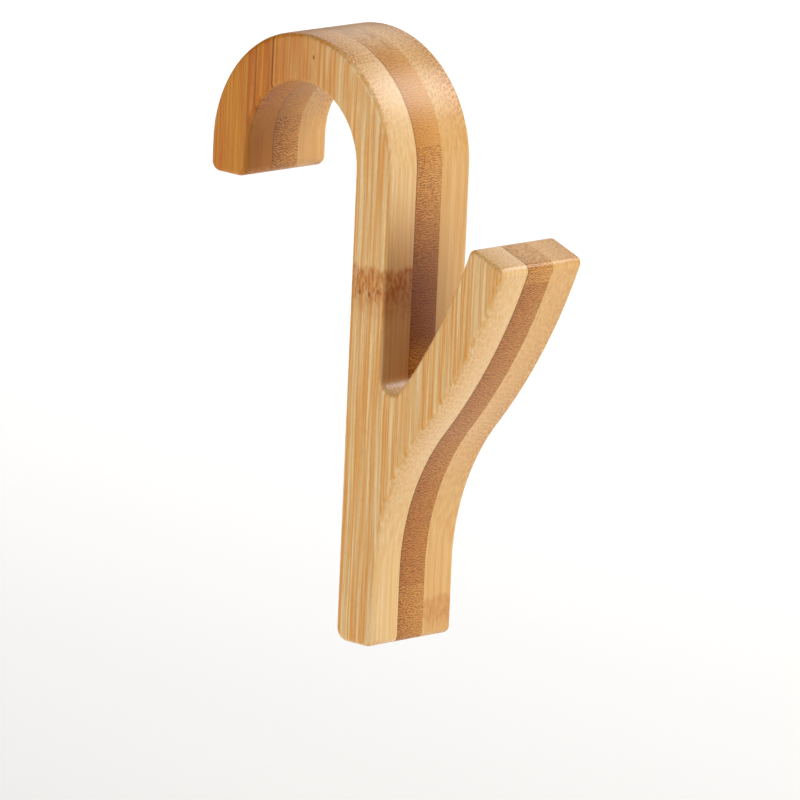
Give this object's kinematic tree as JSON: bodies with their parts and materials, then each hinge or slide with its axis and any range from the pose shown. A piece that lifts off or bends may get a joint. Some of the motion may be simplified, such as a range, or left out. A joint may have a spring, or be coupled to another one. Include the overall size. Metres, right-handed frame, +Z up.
{
  "type": "towel rail hook",
  "caption": "Hook that drops over a round towel rail and holds a towel in a rising arm, cut from three-ply bamboo board.",
  "frame": {"origin": "centre of the half-round rail seat, halfway through the board's thickness", "axes": "+X along the rail, +Y to the wall behind the rail, +Z up; the towel arm points to -Y"},
  "size_m": [0.0218, 0.0772, 0.1134],
  "materials": {
    "natural_bamboo": "satin clear lacquer",
    "caramel_bamboo": "satin clear lacquer"
  },
  "bodies": {
    "root": {"left_leg_stave": "natural_bamboo", "left_crown_stave": "natural_bamboo", "left_stem_stave": "natural_bamboo", "left_arm_stave": "natural_bamboo", "right_leg_stave": "natural_bamboo", "right_crown_stave": "natural_bamboo", "right_stem_stave": "natural_bamboo", "right_arm_stave": "natural_bamboo", "right_tip_stave": "natural_bamboo", "core_crown_slat": "caramel_bamboo", "core_leg_slat": "caramel_bamboo", "core_neck_slat": "caramel_bamboo", "core_tip_slat": "caramel_bamboo", "core_stem_slat": "caramel_bamboo", "core_arm_slat": "caramel_bamboo", "core_fork_slat": "caramel_bamboo", "core_shank_slat": "caramel_bamboo", "core_toe_slat": "caramel_bamboo"}
  },
  "joints": []
}
